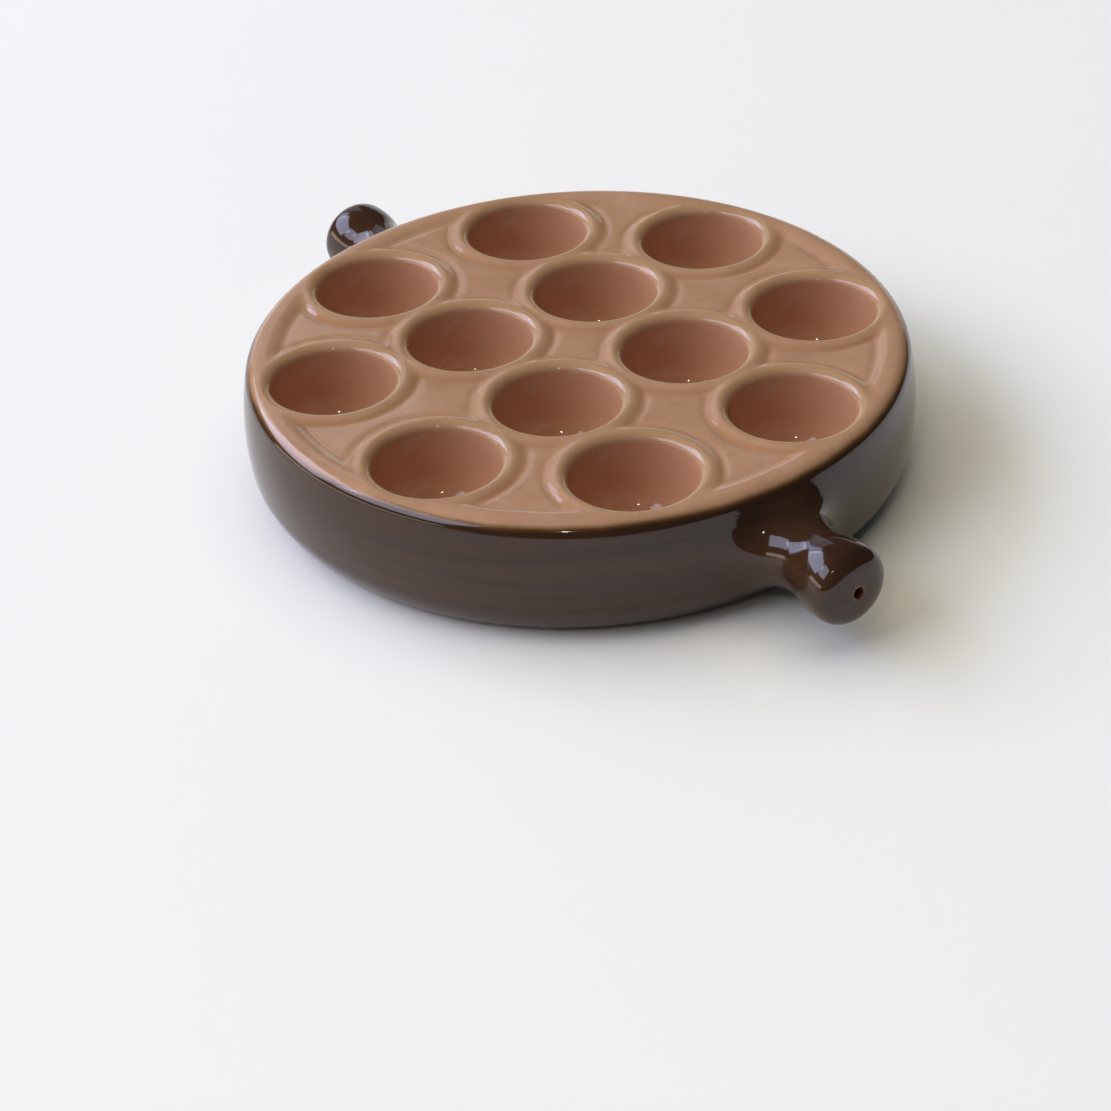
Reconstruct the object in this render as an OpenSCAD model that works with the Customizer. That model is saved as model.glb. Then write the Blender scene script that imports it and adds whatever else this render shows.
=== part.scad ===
// Twelve-well escargot plate: a hollow slip-cast stoneware dish with two knob handles.
// Origin at the centre of the foot, +Z up, +X along the handles. All sizes in millimetres.
// The body, its wells and its handles are one casting, so they are one solid.

/* [Wells] */
// Diameter of a well just below its rounded lip
well_d = 34.8; // [32:0.1:37]
// Depth of a well below the top of the plate
well_depth = 24.5; // [20:0.5:28]
// Radius of the rounded lip at a well's mouth
lip_r = 3.2; // [2.4:0.1:3.4]
// Draft of a well's side, in degrees off the vertical
well_draft = 3; // [1:0.5:6]
// Radius between a well's side and its floor
well_floor_r = 11; // [6:0.5:12]
// Thickness of the clay round a well, where the hollow of the body lies behind it
cup_wall = 4.5; // [4.2:0.1:5.5]

/* [Layout] */
// Clay between the mouths of two neighbouring inner wells
inner_web = 8.3; // [7.2:0.1:9]
// Clay between the mouths of an inner well and the outer wells beside it
outer_web = 7.6; // [7:0.1:9]
// Clay between the mouth of an outer well and the widest line of the side
rim_web = 8.3; // [7.8:0.1:9.5]

/* [Collars and panels] */
// Width of a collar's crest, from the end of the lip's round to the start of its slope
collar_crest = 0.2; // [0.1:0.1:1.4]
// Width of the slope from a collar, or from the rim, down to a sunk panel
panel_slope = 1.8; // [1:0.1:2.2]
// Depth of the sunk panels between the collars
panel_depth = 1.3; // [0.6:0.1:2]
// Width of the plain band from the widest line of the side in to the panels
rim_band = 8.6; // [7:0.1:12]

/* [Body] */
// Height of the widest line of the side, where the two halves of the mould meet
belly_z = 19.5; // [18:0.5:21]
// Radius of the gentle outward curve of the side
belly_r = 64; // [50:1:80]
// Radius of the rounded rim
rim_r = 4; // [3:0.1:4.6]
// Radius of the turn from the side to the base
base_r = 13; // [10:0.5:15]

/* [Walls] */
// Thickness of the side
side_wall = 4.5; // [4:0.1:5.2]
// Thickness of the top, measured under the rim and the collars
top_wall = 5; // [4:0.1:6]
// Thickness of the base over the foot ring
base_wall = 5; // [4:0.1:6]
// Room left inside between the underside of a well and the base
floor_gap = 3; // [1.5:0.1:6]
// Radius of the rounded corners inside the hollow
hollow_r = 3; // [2:0.5:5]

/* [Foot] */
// Width of the flat foot ring
foot_w = 5; // [3:0.1:8]
// Height by which the base is sunk inside the foot ring
foot_h = 1.4; // [0.8:0.1:2]
// Radius of the turn where the sunk base meets the foot ring
foot_r = 2.4; // [2.2:0.1:4]

/* [Handles] */
// How far a handle stands out from the widest line of the side
handle_len = 29.6; // [27:0.1:36]
// Largest diameter of the knob
knob_d = 22.6; // [21.4:0.1:24]
// Length of the rounded end, from the knob's widest line to its tip
knob_end = 7; // [6:0.1:8]
// Squareness of the rounded end: 2 is an ellipse, higher is flatter with a tighter corner
knob_squareness = 3.1; // [2.4:0.1:3.6]
// Smallest diameter of the neck
neck_d = 19.5; // [18:0.1:20.4]
// Distance from the tip back to the smallest part of the neck
neck_back = 17.8; // [16.5:0.1:18.4]
// Radius of the hollow curve that flares from the neck into the side
neck_r = 14.5; // [13:0.5:16]
// Diameter of the flare where it runs into the side
flare_d = 32; // [29:0.5:33]
// Thickness of the clay round the hollow of a handle
handle_wall = 4; // [3:0.1:4.5]
// Diameter of the hole in the end of each handle, which let the slip out and the air in
vent_d = 3; // [2:0.1:5]

/* [Hidden] */

brown_glaze = "#3a2018";
tan_glaze = "#a87a58";

// Straight steps in each arc of an outline
arc_steps = 8;
// Facets of a full turn in the preview
$fn = 96;
// How far a cutter runs past the face that it opens
cut_past = 1;
// How far the lip's round is lifted, so that it leaves the flat crest at a clean edge
lip_lift = 0.1;

inner_count = 4;
outer_count = 8;
inner_turn = 180 / inner_count;
outer_turn = 180 / outer_count;

well_r = well_d / 2;
body_h = base_wall + floor_gap + cup_wall + well_depth;

// Neighbouring inner wells lie inner_web apart. An outer well lies outer_web from the inner
// well beside it, and half an outer step round from it.
inner_ring_r = (well_d + inner_web) / (2 * sin(inner_turn));
well_pitch = well_d + outer_web;
outer_ring_r = inner_ring_r * cos(outer_turn)
    + sqrt(pow(well_pitch, 2) - pow(inner_ring_r * sin(outer_turn), 2));
body_r = outer_ring_r + well_r + rim_web;
panel_r = body_r - rim_band;
collar_r = well_r + lip_r + collar_crest;
side_c = [body_r - belly_r, belly_z];

// Points from angle a0 to angle a1 on a circle of radius r about c
function arc(c, r, a0, a1) =
    [for (i = [0:arc_steps]) let (a = a0 + (a1 - a0) * i / arc_steps) c + r * [cos(a), sin(a)]];

function heading(from, to) = atan2(to[1] - from[1], to[0] - from[0]);

// Centre, at height z, of a corner of radius r that rolls inside a side of radius side_r
function corner(side_r, r, z) =
    [side_c[0] + sqrt(pow(side_r - r, 2) - pow(z - side_c[1], 2)), z];

// Half section of the body: base corner, curved side and top corner, each running smoothly
// into the next. inset takes the wall off the side for the hollow inside.
function body_outline(inset, z0, z1, r0, r1) =
    let (
        side_r = belly_r - inset,
        c0 = corner(side_r, r0, z0 + r0),
        c1 = corner(side_r, r1, z1 - r1),
        a0 = heading(side_c, c0),
        a1 = heading(side_c, c1)
    )
    concat(
        [[0, z0]],
        arc(c0, r0, -90, a0),
        arc(side_c, side_r, a0, a1),
        arc(c1, r1, a1, 90),
        [[0, z1]]
    );

function foot_flat_r() = corner(belly_r, base_r, base_r)[0];

// Half section of a well: flat floor, rounded corner, drafted side and rounded lip
function well_outline() =
    let (
        side_z = body_h - lip_r,
        floor_c_z = body_h - well_depth + well_floor_r,
        drop = side_z - floor_c_z + well_floor_r * sin(well_draft),
        floor_c = [well_r - drop * tan(well_draft) - well_floor_r * cos(well_draft), floor_c_z],
        lip_c = [well_r + lip_r / cos(well_draft), side_z + lip_lift]
    )
    concat(
        [[0, body_h - well_depth]],
        arc(floor_c, well_floor_r, -90, -well_draft),
        arc(lip_c, lip_r, 180 - well_draft, 90),
        [[lip_c[0], body_h + cut_past], [0, body_h + cut_past]]
    );

// Half section of the clay cup that holds a well inside the hollow
module cup_section() {
    cup_r = well_r + cup_wall;
    turn_r = well_floor_r + cup_wall;
    floor_z = body_h - well_depth - cup_wall;
    translate([0, floor_z + turn_r])
        square([cup_r, well_depth + cup_wall - turn_r]);
    translate([0, floor_z])
        square([cup_r - turn_r, turn_r + cut_past]);
    intersection() {
        translate([cup_r - turn_r, floor_z + turn_r])
            circle(r = turn_r);
        translate([cup_r - turn_r, floor_z])
            square(turn_r);
    }
}

// Half section of a handle along its own axis: [radius, distance from the plate's centre].
// The neck is a hollow arc, the knob rolls up from it on a round arc that ends level at the
// knob's widest line, and the end is a superellipse. inset takes the wall off for the hollow.
function handle_outline(inset) =
    let (
        tip = body_r + handle_len,
        neck_c = [tip - neck_back, neck_d / 2 + neck_r],
        wide_x = tip - knob_end,
        run = wide_x - neck_c[0],
        rise = neck_c[1] - knob_d / 2,
        swell_r = (run * run + rise * rise - neck_r * neck_r) / (2 * (neck_r - rise)),
        swell_c = [wide_x, knob_d / 2 - swell_r],
        meet = heading(neck_c, swell_c),
        root_x = body_r - side_wall - handle_wall,
        root_r = flare_d / 2 - inset,
        root = asin((neck_c[1] - root_r) / (neck_r + inset)) - 180,
        power = 2 / knob_squareness,
        end_len = knob_end - inset,
        end_r = knob_d / 2 - inset
    )
    [for (p = concat(
        [[root_x, 0], [root_x, root_r]],
        arc(neck_c, neck_r + inset, root, meet),
        arc(swell_c, swell_r - inset, meet + 180, 90),
        [for (i = [1:arc_steps]) let (a = 90 * i / arc_steps)
            [wide_x + end_len * pow(sin(a), power), end_r * pow(cos(a), power)]]
    )) [p[1], p[0]]];

module at_wells() {
    for (i = [1:inner_count])
        rotate([0, 0, (2 * i - 1) * inner_turn])
            translate([inner_ring_r, 0, 0])
                children();
    for (i = [1:outer_count])
        rotate([0, 0, (2 * i - 1) * outer_turn])
            translate([outer_ring_r, 0, 0])
                children();
}

// Both handles, or the hollows inside them when inset is above 0
module handles(inset) {
    for (side = [90, -90])
        translate([0, 0, belly_z])
            rotate([0, side, 0])
                rotate_extrude()
                    polygon(handle_outline(inset));
}

// The sunk panels: a round tray up to the rim, less a sloping collar round each well
module panels() {
    floor_z = body_h - panel_depth;
    slope = panel_slope / panel_depth;
    difference() {
        rotate_extrude()
            polygon([
                [0, floor_z],
                [panel_r - panel_slope, floor_z],
                [panel_r + slope * cut_past, body_h + cut_past],
                [0, body_h + cut_past]
            ]);
        at_wells()
            rotate_extrude()
                polygon([
                    [0, floor_z - cut_past],
                    [collar_r + panel_slope + slope * cut_past, floor_z - cut_past],
                    [collar_r - slope * 2 * cut_past, body_h + 2 * cut_past],
                    [0, body_h + 2 * cut_past]
                ]);
    }
}

// The base inside the foot ring, sunk a little so that the plate stands on the ring
module foot_recess() {
    recess_r = foot_flat_r() - foot_w;
    rotate_extrude()
        polygon(concat(
            [[0, -cut_past], [recess_r, -cut_past]],
            arc([recess_r - foot_r, foot_h - foot_r], foot_r, 0, 90),
            [[0, foot_h]]
        ));
}

// The hollow left when the slip was drained, with a hole out through the end of each handle
module hollow() {
    difference() {
        rotate_extrude()
            polygon(body_outline(side_wall, base_wall, body_h - top_wall, hollow_r, hollow_r));
        at_wells()
            rotate_extrude()
                cup_section();
    }
    handles(handle_wall);
    for (side = [90, -90])
        translate([0, 0, belly_z])
            rotate([0, side, 0])
                translate([0, 0, body_r])
                    cylinder(d = vent_d, h = handle_len + cut_past);
}

module plate() {
    color(brown_glaze)
        difference() {
            union() {
                rotate_extrude()
                    polygon(body_outline(0, 0, body_h, base_r, rim_r));
                handles(0);
            }
            hollow();
            foot_recess();
            color(tan_glaze)
                panels();
            color(tan_glaze)
                at_wells()
                    rotate_extrude()
                        polygon(well_outline());
        }
}

plate();
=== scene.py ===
# %% [markdown]
# # An escargot plate in glazed stoneware
# The real plate is one slip casting: liquid clay is poured into a plaster mould in two halves, left
# until a skin has set against the plaster, and drained again through the ends of the handles. It is
# dipped in a dark brown glaze, and a tan glaze is poured over the top.
#
# It could be built from a disc, twelve cups and two knobs joined together, but each joint would
# show a crease. This lesson makes its surface as two sheets that share one edge. The top sheet is a
# square grid bent into a disc and pressed down into the wells. The side sheet goes over the rim,
# down the side and under the base, and the handles are pulled out of it. Neighbouring points stay
# neighbours, so the whole plate is one closed mesh, as it is one piece of clay.

import math

import bpy
import numpy as np
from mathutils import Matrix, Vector


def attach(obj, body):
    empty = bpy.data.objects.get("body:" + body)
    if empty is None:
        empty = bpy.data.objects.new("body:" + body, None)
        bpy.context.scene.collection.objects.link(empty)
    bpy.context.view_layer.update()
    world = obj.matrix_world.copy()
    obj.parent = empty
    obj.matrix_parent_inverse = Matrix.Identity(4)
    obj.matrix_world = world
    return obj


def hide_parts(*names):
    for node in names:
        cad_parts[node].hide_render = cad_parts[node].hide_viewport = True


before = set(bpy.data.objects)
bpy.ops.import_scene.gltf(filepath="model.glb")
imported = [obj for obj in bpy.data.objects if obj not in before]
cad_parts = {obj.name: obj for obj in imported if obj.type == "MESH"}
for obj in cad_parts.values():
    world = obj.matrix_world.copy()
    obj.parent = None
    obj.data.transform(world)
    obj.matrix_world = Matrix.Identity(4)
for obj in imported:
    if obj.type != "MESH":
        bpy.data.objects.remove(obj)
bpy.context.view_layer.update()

# %% [markdown]
# ## Outlines
# A potter cuts a template for each section. Blender's own curves could serve as templates, but here
# a template is a chain of points along arcs and lines, because `along` can then read off the point
# at any part of its length, and a grid row can be laid where it is needed. Dense points keep the
# highlights smooth. Everything is in millimetres from the centre of the foot, with +X along the
# handles and +Z up, and is turned to metres when a mesh is made.

# %% Arcs, and a walk along an outline
ARC_POINTS = 90


def arc(cx, cz, r, start, end, n=ARC_POINTS):
    """Points on a circle: centre plus r times (cosine, sine) of an angle from start to end."""
    a = np.radians(np.linspace(start, end, n))
    return np.stack([cx + r * np.cos(a), cz + r * np.sin(a)], axis=1)


def lengths(path):
    """Length walked from the first point of a path to each of its points."""
    return np.r_[0.0, np.cumsum(np.hypot(*np.diff(path, axis=0).T))]


def along(path, s):
    """The point at walked length s, by straight interpolation between the points of the path."""
    walked = lengths(path)
    return np.interp(s, walked, path[:, 0]), np.interp(s, walked, path[:, 1])


print("a half circle of radius 1 is", lengths(arc(0, 0, 1, 0, 180))[-1].round(3), "long")

# %% [markdown]
# ## The outline of a well
# A well is a round cup for one snail: a flat floor, a round corner, a side that leans out by a few
# degrees so that the clay leaves the mould, and a lip. The lip could be a plain quarter circle, as
# it is in the solid. Glaze pulls it a little flatter, and the long bright line on each lip needs
# that, so here it is a quarter of an ellipse.

# %% Outline of a well, from the middle of its floor to the edge of its lip
WELL_R, WELL_DEPTH, FLOOR_R = 17.4, 24.5, 11.0
LIP_R, LIP_RISE = 3.2, 2.5  # the lip's width and its height
DRAFT = 3.0  # lean of the side, in degrees

lean = math.radians(DRAFT)
lip_x = WELL_R + LIP_R / math.cos(lean)
floor_z = -WELL_DEPTH + FLOOR_R
fall = -LIP_R - floor_z + FLOOR_R * math.sin(lean)
floor_x = WELL_R - fall * math.tan(lean) - FLOOR_R * math.cos(lean)
quarter = arc(0.0, 0.0, 1.0, 180 - DRAFT, 90) - [0.0, 1.0]
well_path = np.vstack([
    [[0.0, -WELL_DEPTH]],
    arc(floor_x, floor_z, FLOOR_R, -90, -DRAFT),
    [lip_x, 0.0] + quarter * [LIP_R, LIP_RISE],
])
well_walk = lengths(well_path)
lip_starts = well_walk[1 + ARC_POINTS]
print("a well's outline is", well_walk[-1].round(1), "mm long")
print("its lip starts", lip_starts.round(1), "mm from the middle of the floor")

# %% [markdown]
# ## The outline of the body
# The side is one long, gentle arc that bulges most at mid-height, where the mould opens. It turns
# into the base on a wide arc and into the top on a small one. A Bevel modifier could round both
# edges, but arcs that touch the side's own arc from inside leave no kink for the reflections to
# break on. The small round is drawn in a little at its middle, because glaze thins on an edge, and
# this widens the window's line on the rim.

# %% Outline of the rim, the side and the base
HEIGHT = 37.0
BODY_R, BELLY_Z, BELLY_R = 94.621, 19.5, 64.0
RIM_R, RIM_FLAT, BASE_R = 4.0, 0.045, 13.0
SHEET_TURN = 70  # angle on the rim's round at which the two sheets meet
SIDE_POINTS = 300

side_x = BODY_R - BELLY_R


def rolled(r, z):
    """Centre of a corner arc of radius r at height z that touches the side's arc from inside."""
    return side_x + math.sqrt((BELLY_R - r) ** 2 - (z - BELLY_Z) ** 2)


rim_x, base_x = rolled(RIM_R, HEIGHT - RIM_R), rolled(BASE_R, BASE_R)
rim_turn = math.degrees(math.atan2(HEIGHT - RIM_R - BELLY_Z, rim_x - side_x))
base_turn = math.degrees(math.atan2(BASE_R - BELLY_Z, base_x - side_x))


def rim_round(start, end):
    """The rim's round: a circle drawn in by a squared sine, by RIM_FLAT of its radius at most."""
    a = np.radians(np.linspace(90 - start, 90 - end, ARC_POINTS)) * 180 / (90 - rim_turn)
    drawn_in = 1 - RIM_FLAT * np.sin(a)[:, None] ** 2
    return [rim_x, HEIGHT - RIM_R] + drawn_in * arc(0, 0, RIM_R, start, end)


rim_top = rim_round(90, SHEET_TURN)
SHEET_R = rim_top[-1, 0]
outer_path = np.vstack([
    rim_round(SHEET_TURN, rim_turn),
    arc(side_x, BELLY_Z, BELLY_R, rim_turn, base_turn, SIDE_POINTS),
    arc(base_x, BASE_R, BASE_R, base_turn, -90),
])
print("the two sheets meet", SHEET_R.round(2), "mm from the plate's middle")

# %% [markdown]
# ## The outline of the foot
# The plate stands on a flat ring of bare clay. Inside it the base is sunk by little more than a
# millimetre, so that a slight sag in the kiln doesn't make the plate rock. The base could stay
# flat, as it is hardly ever seen, but one more short outline is enough to make it true.

# %% Outline of the underside
FOOT_W, FOOT_H, FOOT_TURN = 5.0, 1.4, 2.4
TURN_FROM, TURN_POINTS = 30, 30  # angle at which the turn leaves the ring, just off the table
UNDER_HOLE = 6.0  # where the outline stops, short of the one point that closes the base

recess_x = base_x - FOOT_W - FOOT_TURN
under_path = np.vstack([
    [[base_x, 0.0], [base_x - FOOT_W, 0.0]],
    arc(recess_x, FOOT_H - FOOT_TURN, FOOT_TURN, TURN_FROM, 90, TURN_POINTS),
    [[UNDER_HOLE, FOOT_H]],
])
print("foot ring from", round(base_x - FOOT_W, 1), "to", round(base_x, 1), "mm")

# %% [markdown]
# ## The outline of a handle
# A handle is drawn as a section too, but along its own axis. It starts in the small drain hole,
# turns out over the flat end of the knob, rolls over the knob and ends at the thinnest part of the
# neck. The knob's end could be a half ball, but the real one is flatter with a tighter corner, so
# it is a superellipse. The flare from the neck into the side comes later, because the side is
# curved under it.

# %% Outline of a handle, from the bottom of its drain hole to its neck
TIP = BODY_R + 29.6
KNOB_R, KNOB_END, SQUARENESS = 11.3, 7.0, 3.1
NECK_R, NECK_X, NECK_ARC = 9.75, TIP - 17.8, 14.5
VENT_R, VENT_EDGE, VENT_DEPTH = 1.5, 0.5, 9.0
VENT_POINTS, END_POINTS = 20, 240

vent_mouth = VENT_R + VENT_EDGE
wide_x = TIP - KNOB_END
run = wide_x - NECK_X
rise = NECK_R + NECK_ARC - KNOB_R
swell = (run ** 2 + rise ** 2 - NECK_ARC ** 2) / (2 * (NECK_ARC - rise))
meet = math.degrees(math.atan2(KNOB_R - swell - NECK_R - NECK_ARC, run))
power = 2 / SQUARENESS
first = math.degrees(math.acos((vent_mouth / KNOB_R) ** (1 / power)))
turn = np.radians(np.linspace(first, 0, END_POINTS))
rounded = np.stack([np.sin(turn), np.cos(turn)], axis=1) ** power
end_face = [wide_x, 0] + [KNOB_END, KNOB_R] * rounded
handle_path = np.vstack([
    [[TIP - VENT_DEPTH, 0.0], [TIP - VENT_DEPTH, VENT_R]],
    arc(TIP - VENT_EDGE, vent_mouth, VENT_EDGE, -90, 0, VENT_POINTS),
    end_face[1:],
    arc(wide_x, KNOB_R - swell, swell, 90, meet + 180)[1:],
    arc(NECK_X, NECK_R + NECK_ARC, NECK_ARC, meet, -90)[1:],
])
corners = [0, 1, 2, 1 + VENT_POINTS, VENT_POINTS + END_POINTS, len(handle_path) - 1]
stations = lengths(handle_path)[corners]
print("lengths along the handle's outline, mm:", stations.round(1))

# %% [markdown]
# ## The places of the wells
# Four wells stand in a square in the middle, and eight more in a ring round them, with nearly the
# same width of clay between all of them. Their centres could be read off the picture one by one,
# but a mould maker sets them out on two circles, so two radii are enough.

# %% Centres of the wells
INNER_RING, OUTER_RING = 30.476, 68.921

turns = np.radians(np.r_[45 + 90 * np.arange(4), 22.5 + 45 * np.arange(8)])
rings = np.r_[np.full(4, INNER_RING), np.full(8, OUTER_RING)]
wells = np.stack([rings * np.cos(turns), rings * np.sin(turns)], axis=1)
closest = np.hypot(*(wells[0] - wells[4]))
print(len(wells), "wells; an inner and an outer one are", closest.round(2), "mm apart")

# %% [markdown]
# ## The top sheet
# The top of the plate is round, but a polar grid would crowd its points at the centre and spread
# them at the rim. So it starts as a square grid that is bent into a disc: each square ring of cells
# becomes a circle, and all cells stay about the same size.

# %% Square grid bent into a disc
N = 176  # cells along one side of the grid

line = np.linspace(-1, 1, N + 1)
a, b = np.meshgrid(line, line, indexing="ij")
wide = np.abs(a) >= np.abs(b)
lead = np.where(wide, a, b)
other = np.where(wide, b, a)
swing = math.pi / 4 * other / np.where(lead == 0, 1, lead)
swing = np.where(wide, swing, math.pi / 2 - swing)
disc_x = SHEET_R * lead * np.cos(swing)
disc_y = SHEET_R * lead * np.sin(swing)
cell = math.sqrt(math.pi) * SHEET_R / N
print("top sheet:", N, "x", N, "cells, about", cell.round(2), "mm wide")

# %% [markdown]
# ## Collars and panels
# The clay round each well stands up as a collar, and so does the band at the rim. Between them the
# panels are sunk by about a millimetre. Collars cut out one by one would leave sharp corners where
# two of them meet, and thick glaze rounds those off. So the height is worked out from a soft
# distance to the nearest edge, and a small groove at each slope's foot catches the dark line that
# the eye reads as the panel's border.

# %% Height of the top outside the wells
COLLAR_R, SLOPE, PANEL_R = 20.8, 1.8, BODY_R - 8.6
BLEND = 0.8  # how far two edges reach into each other where they meet
STEP, PANEL_DEPTH = 4.0, 0.95  # the width of a slope under its glaze, and its height
GROOVE, GROOVE_AT, GROOVE_WIDE = 0.38, 2.0, 0.9


def past_edges(x, y):
    """Soft minimum of the distances past the middles of all slopes: -k log(sum(exp(-d / k)))."""
    d = np.hypot(x[..., None] - wells[:, 0], y[..., None] - wells[:, 1]) - COLLAR_R - SLOPE / 2
    d = np.concatenate([d, (PANEL_R - SLOPE / 2 - np.hypot(x, y))[..., None]], axis=-1)
    low = d.min(axis=-1)
    return low - BLEND * np.log(np.exp((low[..., None] - d) / BLEND).sum(axis=-1))


def top_height(x, y):
    """The rim's height, less the panel's depth times a smooth step, less a bell-shaped groove."""
    past = past_edges(x, y)
    s = np.clip(past / STEP + 0.5, 0, 1)
    groove = GROOVE * np.exp(-((past - GROOVE_AT) / GROOVE_WIDE) ** 2)
    return np.interp(np.hypot(x, y), *rim_top.T) - PANEL_DEPTH * s * s * (3 - 2 * s) - groove


print("the plate's middle is", top_height(np.zeros(1), np.zeros(1))[0].round(2), "mm high")

# %% [markdown]
# ## Pressing the wells
# In the mould each well is a plug that the clay settles round. Cutting the wells with a Boolean
# would leave ragged edges, so every point that lies over a well is slid along that well's outline
# instead, as a soft slab sinks over a plug. The lip gets far more of the points than the floor,
# because its highlight is thin.

# %% Press the wells into the disc
FLAT_SHARES = np.array([0, 0.66, 0.84, 1])  # shares of a well's radius on the flat disc
LIP_START = 1.6  # millimetres of the lip that lie between the second and the third share


def press_wells(x, y):
    """Slides each point over a well along the well's outline, by its share of the flat radius."""
    dx, dy = x[..., None] - wells[:, 0], y[..., None] - wells[:, 1]
    rho = np.hypot(dx, dy)
    near = rho.argmin(axis=-1)[..., None]
    rho, dx, dy = (np.take_along_axis(v, near, -1)[..., 0] for v in (rho, dx, dy))
    walked = [0, lip_starts, lip_starts + LIP_START, well_walk[-1]]
    out, down = along(well_path, np.interp(rho, FLAT_SHARES * lip_x, walked))
    inside = rho < lip_x
    grow = np.where(inside, out / np.maximum(rho, 1e-9), 1) - 1
    x, y = x + dx * grow, y + dy * grow
    return x, y, top_height(x, y) + np.where(inside, down, 0)


top = np.stack(press_wells(disc_x, disc_y), axis=-1)
low, high = top[..., 2].min(), top[..., 2].max()
print("top sheet runs from", low.round(1), "to", high.round(1), "mm high")

# %% [markdown]
# ## The side sheet
# Rim, side and base are one turned form, and a Spin of their outline would make it. Its rows follow
# that outline, but each column starts from a point on the top sheet's edge, so that the two sheets
# fit. Rows lie closer at mid-height and columns swing towards the handles, because the clay of a
# handle is all pulled out of a small round patch of the side.

# %% Rows and columns of the side sheet
PATCH_TOP, PATCH_LOW = 30.5, 8.5  # heights between which the rows lie close
ROW_COUNTS = [9, 4, 56, 11]  # rows on the rim, above, in and below that band
UNDER_ROWS = np.r_[1.7, 3.4, 5.0, 5.4, 6.1, 6.8, 7.5, 20, 35, 50, 65]  # walked from the ring in
SWING, SWING_DEPTH = 0.3, 7  # the columns' full swing, and how far below the top they reach it

walk = lengths(outer_path)
patch_top, patch_low = np.interp([-PATCH_TOP, -PATCH_LOW], -outer_path[:, 1], walk)
stops = [0.0, walk[ARC_POINTS - 1], patch_top, patch_low, walk[-1]]
spans = zip(stops, stops[1:], ROW_COUNTS)
rows = np.concatenate([np.linspace(s, e, n + 1)[1:] for s, e, n in spans])
r_out, z_out = along(outer_path, rows)
r_in, z_in = along(under_path, UNDER_ROWS)
row_r, row_z = np.r_[r_out, r_in][:, None], np.r_[z_out, z_in][:, None]
start = np.radians(-45 + 90 * np.arange(4 * N) / N)[None, :]
swung = np.clip((HEIGHT - row_z) / SWING_DEPTH, 0, 1)
column = start - SWING * swung * swung * (3 - 2 * swung) * np.sin(2 * start)
side = np.stack([row_r * np.cos(column), row_r * np.sin(column), row_z + 0 * column], axis=-1)
print("side sheet:", side.shape[0], "rows of", side.shape[1])

# %% [markdown]
# ## Pulling out the handles
# The real handles are part of the mould, so they grow out of the side without a seam. A separate
# knob pushed into the side would show a crease all round. Instead a round patch of the side is
# drawn out, as a potter pulls a handle: the middle of the patch becomes the knob's end and its
# hole, and its edge stays on the side, with a flare that leaves the neck and the side smoothly.

# %% Pull the handles out of the side
FLARE_WIDE, FLARE_UP, FLARE_DOWN = 27.0, 17.0, 18.5  # how far the patch reaches on the side
FLARE_POWER, FLARE_START = 1.4, 0.9
NECK_SHARE = 0.6
PATCH_SHARES = [0, 0.06, 0.13, 0.18, 0.41, NECK_SHARE]  # one for each of the stations
PULL_FROM = 60  # points nearer to the middle than this stay where they are


def wall_x(y, z):
    """How far out the side lies: the root of its radius squared at height z, less y squared."""
    r = np.interp(z, outer_path[::-1, 1], outer_path[::-1, 0])
    return np.sqrt(np.maximum(r * r - y * y, 0))


def pull_handles(points):
    """Moves a patch of the side out along the handle's outline, its middle to the tip.

    Past the neck the radius grows by one less a cosine, and the distance falls by a power of one
    less a sine, of an angle that is a cubic of the share of the patch."""
    x, y, z = points[..., 0], points[..., 1], points[..., 2] - BELLY_Z
    q = np.maximum(np.hypot(y, z), 1e-9)
    ca, sa = y / q, z / q
    foot = 1 / np.hypot(ca / FLARE_WIDE, sa / np.where(sa > 0, FLARE_UP, FLARE_DOWN))
    u = q / foot
    out, radius = along(handle_path, np.interp(u, PATCH_SHARES, stations))
    w = np.clip((u - NECK_SHARE) / (1 - NECK_SHARE), 0, 1)
    end = foot * (1 - NECK_SHARE) / (foot - NECK_R) / (math.pi / 2)
    square, cube = 3 - 2 * FLARE_START - end, FLARE_START + end - 2
    t = math.pi / 2 * w * (FLARE_START + w * (square + w * cube))
    radius = np.where(t > 0, NECK_R + (foot - NECK_R) * (1 - np.cos(t)), radius)
    wall = wall_x(radius * ca, radius * sa + BELLY_Z)
    out = np.where(t > 0, wall + (NECK_X - wall) * (1 - np.sin(t)) ** FLARE_POWER, out)
    moved = np.stack([np.sign(x) * out, radius * ca, radius * sa + BELLY_Z], axis=-1)
    return np.where(((u < 1) & (np.abs(x) > PULL_FROM))[..., None], moved, points)


side = pull_handles(side)
long, broad = np.ptp(side[..., 0]), np.ptp(side[..., 1])
print("tip to tip", long.round(1), "mm, across", broad.round(1), "mm")

# %% [markdown]
# ## One closed mesh
# The plate's skin has no edge anywhere, and a closed mesh can also be printed or weighed. Merging
# two meshes by distance would risk joining the wrong points on the lips. Here the two sheets share
# the ring of points on the rim by number, and the last ring under the base closes on one point.

# %% Join the sheets
grid = np.arange((N + 1) ** 2).reshape(N + 1, N + 1)
ring = np.concatenate([grid[-1, :-1], grid[::-1, -1][:-1], grid[0, ::-1][:-1], grid[:, 0][:-1]])
bands = np.vstack([ring, (N + 1) ** 2 + np.arange(side.shape[0] * 4 * N).reshape(-1, 4 * N)])
pole = bands[-1, -1] + 1
after = np.roll(bands, -1, axis=1)
cells = [grid[:-1, :-1], grid[1:, :-1], grid[1:, 1:], grid[:-1, 1:]]
strips = [bands[:-1], bands[1:], after[1:], after[:-1]]
quads = np.concatenate([np.stack(c, axis=-1).reshape(-1, 4) for c in (cells, strips)])
fan = np.stack([bands[-1], np.full(4 * N, pole), after[-1]], axis=-1)
points = np.concatenate([top.reshape(-1, 3), side.reshape(-1, 3), [[0.0, 0.0, FOOT_H]]])
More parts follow.
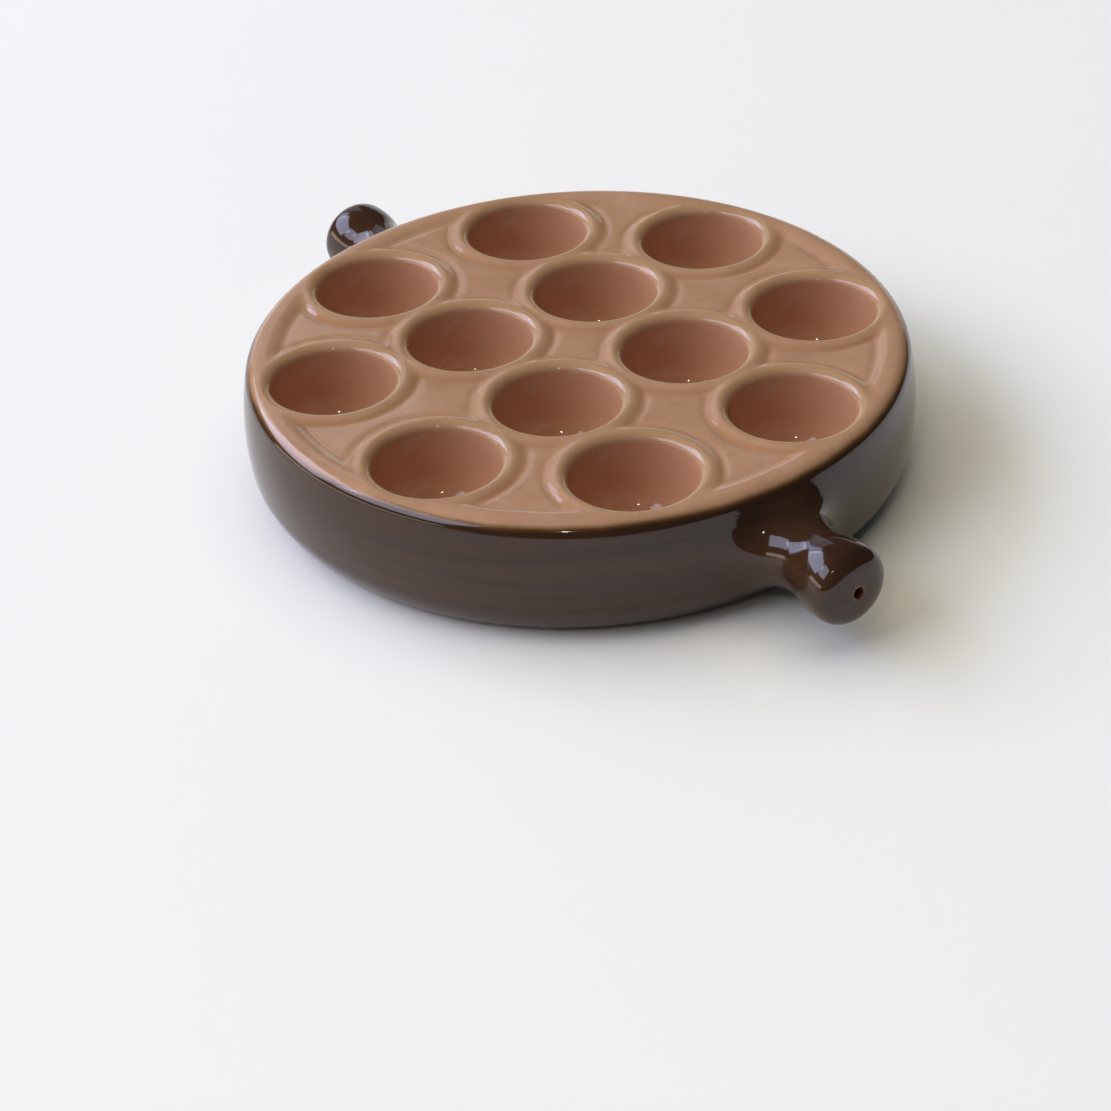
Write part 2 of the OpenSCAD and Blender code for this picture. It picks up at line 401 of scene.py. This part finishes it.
print(len(points), "points,", 2 * len(quads) + len(fan), "triangles")


# %% The plate's mesh and object
def shown(name, mesh_name, vertices, faces):
    """A smooth-shaded mesh of these vertices, in metres, and an object that shows it."""
    mesh = bpy.data.meshes.new(mesh_name)
    mesh.from_pydata(vertices.tolist(), [], faces)
    mesh.polygons.foreach_set("use_smooth", np.ones(len(mesh.polygons), dtype=bool))
    mesh.update()
    made = bpy.data.objects.new(name, mesh)
    bpy.context.scene.collection.objects.link(made)
    return made


plate = shown("plate_glazed", "plate_clay", points * 0.001, quads.tolist() + fan.tolist())
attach(plate, "root")
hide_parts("plate")
print(plate.name, "has", len(plate.data.polygons), "faces")

# %% [markdown]
# ## Glazed stoneware
# Stoneware is clay fired until it is dense, and its glaze is a layer of glass melted onto it. The
# eye gets two things from it: the colour of the glaze lying on the clay, and a hard, clear mirror
# of the room on top. Each glaze could be a material of its own, but then the border between them
# would follow the edges of the faces. One material holds both glazes and the bare clay, told apart
# by where a point lies, so the border is as soft and wavering as a poured glaze leaves it.
#
# A node's inputs are given by name or by number. A Map Range has its value at 0, and it carries the
# span from 1 to 2 onto the span from 3 to 4; a span that isn't given goes from 0 to 1. A Mix of
# colours has the share at 0, the colour underneath at 6 and the one on top at 7.

# %% Colours, and a helper that adds a node
def colour(code):
    """sRGB hex to linear light: c / 12.92 if small, else ((c + 0.055) / 1.055) to the power 2.4."""
    c = np.array([int(code[i:i + 2], 16) for i in (1, 3, 5)]) / 255
    return (*np.where(c <= 0.04045, c / 12.92, ((c + 0.055) / 1.055) ** 2.4).tolist(), 1.0)


def node(tree, kind, links=None, **settings):
    """Adds a node, sets its properties, and gives its inputs values or other nodes' outputs."""
    made = tree.nodes.new("ShaderNode" + kind)
    for key, value in settings.items():
        setattr(made, key, value)
    for key, value in (links or {}).items():
        if isinstance(value, bpy.types.NodeSocket):
            tree.links.new(value, made.inputs[key])
        else:
            made.inputs[key].default_value = value
    return made


def material(name):
    """A material with an empty node tree, and that tree."""
    made = bpy.data.materials.new(name)
    made.use_nodes = True
    made.node_tree.nodes.clear()
    return made, made.node_tree


stoneware, tree = material("glazed_stoneware")
plate.data.materials.append(stoneware)
print("brown #4e3321 in linear light:", [round(v, 3) for v in colour("#4e3321")])

# %% [markdown]
# ## Finding a place on the plate
# A potter pours and wipes by hand, so a glaze ends at a height or at a distance from the middle,
# never quite evenly. Painted maps could say where, but the plate is round, so two lengths say it
# for all of it: a point's height and its distance from the axis, made uneven by a cloudy pattern.
# A noise's scale counts its grains to the metre, which is 1000 over their size in millimetres.

# %% Height, distance from the axis, and a waver
WAVER_MM = 1000 / 45

place = node(tree, "TexCoord").outputs["Object"]
height = node(tree, "SeparateXYZ", {0: place}).outputs["Z"]
flat = node(tree, "VectorMath", {0: place, 1: (1, 1, 0)}, operation="MULTIPLY").outputs[0]
radius = node(tree, "VectorMath", {0: flat}, operation="LENGTH").outputs["Value"]
cloudy = {"Vector": place, "Scale": 1000 / WAVER_MM, "Detail": 3.0}
waver = node(tree, "TexNoise", cloudy).outputs["Fac"]
print("the border wavers every", round(WAVER_MM), "mm;", len(tree.nodes), "nodes so far")

# %% [markdown]
# ## Thin glaze, and painted shade and light
# Melted glaze runs off a sharp crest, and where it is thin the clay shows through. In the grooves
# round the collars the colour is browner and redder, partly from glaze gathered there and partly as
# painted shade. Down in the wells the colour is lighter and pinker as painted light, for the light
# that reaches and bounces round inside them. Cycles could find the crests itself by Pointiness, but
# that depends on how dense the mesh is. The mesh already knows where its crests, grooves and wells
# lie, so three numbers are stored at each point for the material to read.

# %% Where the glaze thins, where the grooves get painted shade, and where the wells get painted light
CREST_AT, CREST_WIDE, CREST_DEPTH = 19.4, 1.1, 3  # from a well's centre, and below the top
# where the grooves get painted shade over their gathered glaze
SETTLED_SHADE_AT, SETTLED_SHADE_WIDE = 22.9, 1.2
SUNK_FROM, SUNK_OVER = 0.3, 0.5  # depth at which a groove starts to count, and the fall it takes
# how far below the top, and how far past the lip, the wells get painted light
WELL_LIGHT_FROM, WELL_LIGHT_OVER, WELL_LIGHT_PAST = 1.2, 2, 1.5
TOP_EDGE, TOP_LOW = SHEET_R + 0.1, 5  # the top sheet lies inside this radius, above this height


def bell(value, middle, width):
    """One at the middle, falling as exp(-t squared), where t is the distance over the width."""
    return np.exp(-((value - middle) / width) ** 2)


def glaze_marks(x, y, z):
    """A bell round each lip's crest, one round each collar's sunk foot, and a well's depth."""
    near = np.hypot(x[:, None] - wells[:, 0], y[:, None] - wells[:, 1]).min(axis=1)
    on_top = (np.hypot(x, y) < TOP_EDGE) & (z > TOP_LOW)
    sunk = np.clip((HEIGHT - SUNK_FROM - z) / SUNK_OVER, 0, 1)
    depth = np.clip((HEIGHT - WELL_LIGHT_FROM - z) / WELL_LIGHT_OVER, 0, 1)
    # the groove mark is gathered glaze with painted shade; the well mark is painted light
    return {
        "thin": bell(near, CREST_AT, CREST_WIDE) * on_top * (z > HEIGHT - CREST_DEPTH),
        "settled_and_shaded": bell(near, SETTLED_SHADE_AT, SETTLED_SHADE_WIDE) * on_top * sunk,
        "painted_well_light": depth * on_top * (near < WELL_R + WELL_LIGHT_PAST),
    }


for name, values in glaze_marks(*points.T).items():
    stored = plate.data.attributes.new(name, "FLOAT", "POINT")
    stored.data.foreach_set("value", values.astype(np.float32))
    print("glaze", name, "at", int((values > 0.5).sum()), "points")

# %% [markdown]
# ## Tan glaze
# Its colour comes from iron, which never spreads quite evenly. A photograph of a glaze could be
# wrapped on, but it would stretch in the wells, so two patterns in space stand for it: a mottle of
# more than a centimetre, and specks of a millimetre or two. The glaze is paler and greener on the
# lips. In the grooves it is browner, partly from gathered glaze and partly as painted shade, and
# down in the wells it is lighter and pinker as painted light.

# %% Colour of the tan glaze
MOTTLE_MM, SPECK_MM = 1000 / 60, 1000 / 620
SPECK_SHARE = {1: 0.6, 2: 0.74, 3: 0.0, 4: 0.16}  # only where the noise is high, and faint
# glaze thin on the lips; gathered glaze with painted shade in the grooves; painted light in the
# wells
OVERLAYS = (("thin", 0.5, "#a5845a"), ("settled_and_shaded", 0.6, "#a4744c"), ("painted_well_light", 1.0, "#bd8c6c"))

cloudy = {"Vector": place, "Scale": 1000 / MOTTLE_MM, "Detail": 6.0, "Roughness": 0.7}
mottle = node(tree, "TexNoise", cloudy).outputs["Fac"]
shades = {0: mottle, 6: colour("#987251"), 7: colour("#c49b7c")}
tan = node(tree, "Mix", shades, data_type="RGBA").outputs[2]
fine = {"Vector": place, "Scale": 1000 / SPECK_MM, "Detail": 1.0}
speck = node(tree, "TexNoise", fine).outputs["Fac"]
part = node(tree, "MapRange", {0: speck, **SPECK_SHARE}).outputs[0]
tan = node(tree, "Mix", {0: part, 6: tan, 7: colour("#84603f")}, data_type="RGBA").outputs[2]
for name, share, shade in OVERLAYS:
    here = node(tree, "Attribute", attribute_name=name).outputs["Fac"]
    part = node(tree, "Math", {0: here, 1: share}, operation="MULTIPLY").outputs[0]
    tan = node(tree, "Mix", {0: part, 6: tan, 7: colour(shade)}, data_type="RGBA").outputs[2]
print("mottle of", round(MOTTLE_MM), "mm, specks of", round(SPECK_MM, 1), "mm")

# %% [markdown]
# ## Brown glaze
# The plate is dipped in it first. It is nearly black, and faint level streaks show how it ran as
# the plate was lifted out. A Wave texture would make them too even, so they are a noise that is
# stretched sideways, about 70 mm long and 4 mm high.

# %% Colour of the brown glaze
STREAKS = (14.0, 14.0, 240.0)  # grains to the metre along x, y and z

stretched = node(tree, "Mapping", {0: place, 3: STREAKS}).outputs[0]
streak = node(tree, "TexNoise", {"Vector": stretched, "Scale": 1.0, "Detail": 4.0}).outputs["Fac"]
shades = {0: streak, 6: colour("#1f140d"), 7: colour("#4e3321")}
brown = node(tree, "Mix", shades, data_type="RGBA").outputs[2]
print("streaks", round(1000 / STREAKS[0]), "mm long and", round(1000 / STREAKS[2]), "mm high")

# %% [markdown]
# ## The border of the two glazes
# The tan glaze is poured over the top and ends just over the rim in a wavering line. Where the two
# run into each other there is a narrow band of golden brown. A hard edge could be drawn with one
# comparison, but melted glazes blend, so the share of tan climbs over a millimetre or two, and the
# golden brown lies between its low and its high part.

# %% From brown over gold to tan
POUR_R = {1: 0.0917, 2: 0.0932, 3: 1.0, 4: 0.0}  # metres from the axis; full to none
POUR_Z = {1: 0.0105, 2: 0.0115}  # metres up; the base is left brown
POUR_WAVER = 0.0014
RUNS, COVERS = {1: 0.0, 2: 0.45}, {1: 0.35, 2: 1.0}

line_r = node(tree, "Math", {0: waver, 1: POUR_WAVER, 2: radius}, operation="MULTIPLY_ADD")
over = node(tree, "MapRange", {0: line_r.outputs[0], **POUR_R}).outputs[0]
high = node(tree, "MapRange", {0: height, **POUR_Z}).outputs[0]
poured = node(tree, "Math", {0: over, 1: high}, operation="MULTIPLY").outputs[0]
runs = node(tree, "MapRange", {0: poured, **RUNS}).outputs[0]
covers = node(tree, "MapRange", {0: poured, **COVERS}).outputs[0]
gold = node(tree, "Mix", {0: runs, 6: brown, 7: colour("#654422")}, data_type="RGBA").outputs[2]
glaze = node(tree, "Mix", {0: covers, 6: gold, 7: tan}, data_type="RGBA").outputs[2]
print("both glazes:", len(tree.nodes), "nodes so far")

# %% [markdown]
# ## Bare clay on the foot
# The foot ring is wiped clean before firing, or the plate would melt onto the kiln's shelf, so it
# is matt and brick-red. It could be a second material on the ring's faces, but the same two lengths
# as before pick it out, with an edge as soft as a wet sponge leaves it.

# %% Bare clay on the foot ring
GLAZE_ROUGH, CLAY_ROUGH = 0.08, 0.75
RING_R, RING_Z = {1: 0.0757, 2: 0.0764}, {1: 0.0002, 2: 0.0007, 3: 1.0, 4: 0.0}  # metres

ring_r = node(tree, "MapRange", {0: radius, **RING_R}).outputs[0]
ring_z = node(tree, "MapRange", {0: height, **RING_Z}).outputs[0]
wiped = node(tree, "Math", {0: ring_r, 1: ring_z}, operation="MULTIPLY").outputs[0]
skin = node(tree, "Mix", {0: wiped, 6: glaze, 7: colour("#b5714f")}, data_type="RGBA").outputs[2]
rough = node(tree, "MapRange", {0: wiped, 3: GLAZE_ROUGH, 4: CLAY_ROUGH}).outputs[0]
print("roughness from", GLAZE_ROUGH, "on glaze to", CLAY_ROUGH, "on clay")

# %% [markdown]
# ## The edge of the drain holes
# In the end of each knob the glaze drew back from the hole's sharp edge, and the clay shows as a
# thin dark rim. A ring of faces could be painted, but a distance from the handle's axis does for
# both holes at once, and the waver makes the rim uneven.

# %% Clay round the drain holes
AXIS_AT = (0, 0, BELLY_Z * 0.001)
HOLE_R = {1: 0.0028, 2: 0.0037, 3: 1.0, 4: 0.0}  # metres from that axis; full to none
HOLE_WAVER, KNOBS_FROM = 0.0026, 0.12

across = node(tree, "VectorMath", {0: place, 1: (0, 1, 1)}, operation="MULTIPLY").outputs[0]
off = node(tree, "VectorMath", {0: across, 1: AXIS_AT}, operation="DISTANCE").outputs["Value"]
wavy = node(tree, "Math", {0: waver, 1: HOLE_WAVER, 2: off}, operation="MULTIPLY_ADD").outputs[0]
hole = node(tree, "MapRange", {0: wavy, **HOLE_R}).outputs[0]
knobs = node(tree, "Math", {0: radius, 1: KNOBS_FROM}, operation="GREATER_THAN").outputs[0]
part = node(tree, "Math", {0: hole, 1: knobs}, operation="MULTIPLY").outputs[0]
skin = node(tree, "Mix", {0: part, 6: skin, 7: colour("#643721")}, data_type="RGBA").outputs[2]
print("glazes and clay:", len(tree.nodes), "nodes so far")

# %% [markdown]
# ## The glassy surface
# Fired glaze is smooth but never flat: it sags in slow waves a few centimetres long, with a fine
# ripple like orange peel on top. Both are far too shallow for a mesh of this size to hold, and Bump
# bends the highlights as they do. The glaze is as shiny as window glass, with the same index of
# refraction.

# %% Ripple, sag and shine
PEEL_MM, SAG_MM = 1000 / 260, 1000 / 38
PEEL_BUMP = {"Strength": 0.05, "Distance": 0.0004}
SAG_BUMP = {"Strength": 0.18, "Distance": 0.0012}

fine = {"Vector": place, "Scale": 1000 / PEEL_MM, "Detail": 2.0}
peel = node(tree, "TexNoise", fine).outputs["Fac"]
ripple = node(tree, "Bump", {"Height": peel, **PEEL_BUMP}).outputs[0]
slow = {"Vector": place, "Scale": 1000 / SAG_MM, "Detail": 1.0}
sag = node(tree, "TexNoise", slow).outputs["Fac"]
bent = node(tree, "Bump", {"Height": sag, "Normal": ripple, **SAG_BUMP}).outputs[0]
glass = {"Base Color": skin, "Roughness": rough, "IOR": 1.5, "Normal": bent}
node(tree, "OutputMaterial", {0: node(tree, "BsdfPrincipled", glass).outputs[0]})
print("ripple of", round(PEEL_MM, 1), "mm, sag of", round(SAG_MM), "mm")

# %% [markdown]
# ## Table
# The plate stands on a wide sheet of matt white paper that curves up at its far end, as in a
# photographer's sweep. A white world alone could stand for it, but the side of the plate mirrors
# the paper and the plate's shadow lies on it, so it is a real sheet.

# %% White paper, curved up at its far end
AWAY = np.array([-0.834, 0.552])  # level directions in the picture: away, and to the right
ACROSS = np.array([0.552, 0.834])
PAPER_FROM, PAPER_BEND, PAPER_CURVE, PAPER_TOP, PAPER_HALF = -0.33, 1.5, 0.3, 0.5, 1.2
BEND_POINTS = 24

floor_path = np.vstack([
    [[PAPER_FROM, 0.0], [PAPER_BEND, 0.0]],
    arc(PAPER_BEND, PAPER_CURVE, PAPER_CURVE, -90, 0, BEND_POINTS),
    [[PAPER_BEND + PAPER_CURVE, PAPER_TOP]],
])
ground = floor_path[:, :1] * AWAY
sheet = np.concatenate([
    np.concatenate([ground + edge * ACROSS, floor_path[:, 1:]], axis=1)
    for edge in (-PAPER_HALF, PAPER_HALF)
])
half = len(floor_path)
bends = [(i, half + i, half + i + 1, i + 1) for i in range(half - 1)]
paper_object = shown("white_paper", "white_paper", sheet, bends)
white, paper_tree = material("matt_paper")
matt = {"Base Color": colour("#f6f5f0"), "Roughness": 0.9}
node(paper_tree, "OutputMaterial", {0: node(paper_tree, "BsdfPrincipled", matt).outputs[0]})
paper_object.data.materials.append(white)
print("paper:", half - 1, "strips,", 2 * PAPER_HALF, "m wide")

# %% [markdown]
# ## Light
# Glaze is a mirror, so what it mirrors matters as much as what lights it. A picture of a room could
# be wrapped round the scene, but soft boxes can be set one by one. Tall windows at the left and
# behind draw the pale blue lines on the rim, the lips and the handles, a low strip under them draws
# the thin cream line below the rim, and a weak light beside them softens the collars. A small lamp
# by the camera gives the sparks. Two boxes light the plate but are left out of the mirror, because
# the room above is dark, which keeps the brown glaze dark.

# %% Lamps
LAMPS = [
    # name, turn, height, reach, aim, size, power, tint, mirrored
    ("overhead_box", 120, 80, 4.8, 0.0, (6.0, 6.0), 142.0, "#fff8e2", False),
    ("left_box", 203, 40, 5.2, 0.0, (3.6, 3.0), 40.0, "#fff0d8", False),
    ("left_window", 201, 40, 5.2, 0.02, (3.8, 2.4), 122.0, "#d8e1ff", True),
    ("window_box", 154, 33, 5.2, 0.02, (3.7, 2.4), 148.0, "#d0daff", True),
    ("window_side", 128, 29, 5.2, 0.02, (1.2, 1.9), 21.0, "#d0daff", True),
    ("door_box", 108, 27, 5.2, 0.02, (2.2, 1.9), 7.5, "#e6ebff", True),
    ("sill_strip", 190, 6, 5.2, 0.02, (7.2, 0.8), 54.0, "#fff2dc", True),
    ("camera_lamp", -97, 42, 0.9, 0.02, (0.025, 0.025), 0.25, "#fff4e6", True),
]


def lamp(name, turn, height, reach, aim, size, power, tint, mirrored):
    """A soft box that faces the point at height aim over the plate's middle.

    It stands off by reach, at the angle turn round the plate from the picture's right and at the
    angle height above the table. Lengths are in metres and angles in degrees."""
    light = bpy.data.lights.new(name, "AREA")
    light.shape = "RECTANGLE"
    light.size, light.size_y = size
    light.energy = power
    light.color = colour(tint)[:3]
    made = bpy.data.objects.new(name, light)
    turn, height = math.radians(turn), math.radians(height)
    spot = reach * math.cos(height) * (math.cos(turn) * ACROSS + math.sin(turn) * AWAY)
    made.location = (*spot, reach * math.sin(height))
    facing = Vector((0, 0, aim)) - made.location
    made.rotation_euler = facing.to_track_quat("-Z", "Y").to_euler()
    made.visible_glossy = mirrored
    bpy.context.scene.collection.objects.link(made)


for row in LAMPS:
    lamp(*row)
    print(row[0], "of", row[6], "watts")

# %% [markdown]
# ## Air
# Past the paper the camera sees a plain white background, but the glaze must mirror a dark room. A
# second sheet of paper behind would be mirrored too, so the world itself is white to the camera's
# own rays and dark to all others.

# %% World
world = bpy.data.worlds.new("studio_air")
bpy.context.scene.world = world
world.use_nodes = True
air = world.node_tree
air.nodes.clear()
dark = node(air, "Background", {0: colour("#8a8f99"), 1: 0.15}).outputs[0]
pale = node(air, "Background", {0: colour("#f6f6f6"), 1: 1.0}).outputs[0]
seen = node(air, "LightPath").outputs["Is Camera Ray"]
node(air, "OutputWorld", {0: node(air, "MixShader", {0: seen, 1: dark, 2: pale}).outputs[0]})
bpy.context.scene.view_settings.view_transform = "Standard"
print("world:", len(air.nodes), "nodes")

# %% [markdown]
# ## Camera
# It looks down at the plate from the front right, with a long lens that keeps the ellipses of the
# wells even. It could be placed by eye, but a camera worked out from the rim, the wells and the
# knobs shows each of them where the photograph does.

# %% Camera at the photograph's viewing angle
camera = bpy.data.cameras.new("camera")
camera.lens = 97.17
camera.sensor_width = 36.0
camera.clip_start, camera.clip_end = 0.05, 20
eye = bpy.data.objects.new("camera", camera)
eye.location = (0.60431, -0.40011, 0.46241)
eye.rotation_euler = [math.radians(v) for v in (55.481, 2.687, 55.378)]
bpy.context.scene.collection.objects.link(eye)
bpy.context.scene.camera = eye
print("camera stands", round(eye.location.length, 3), "metres off")
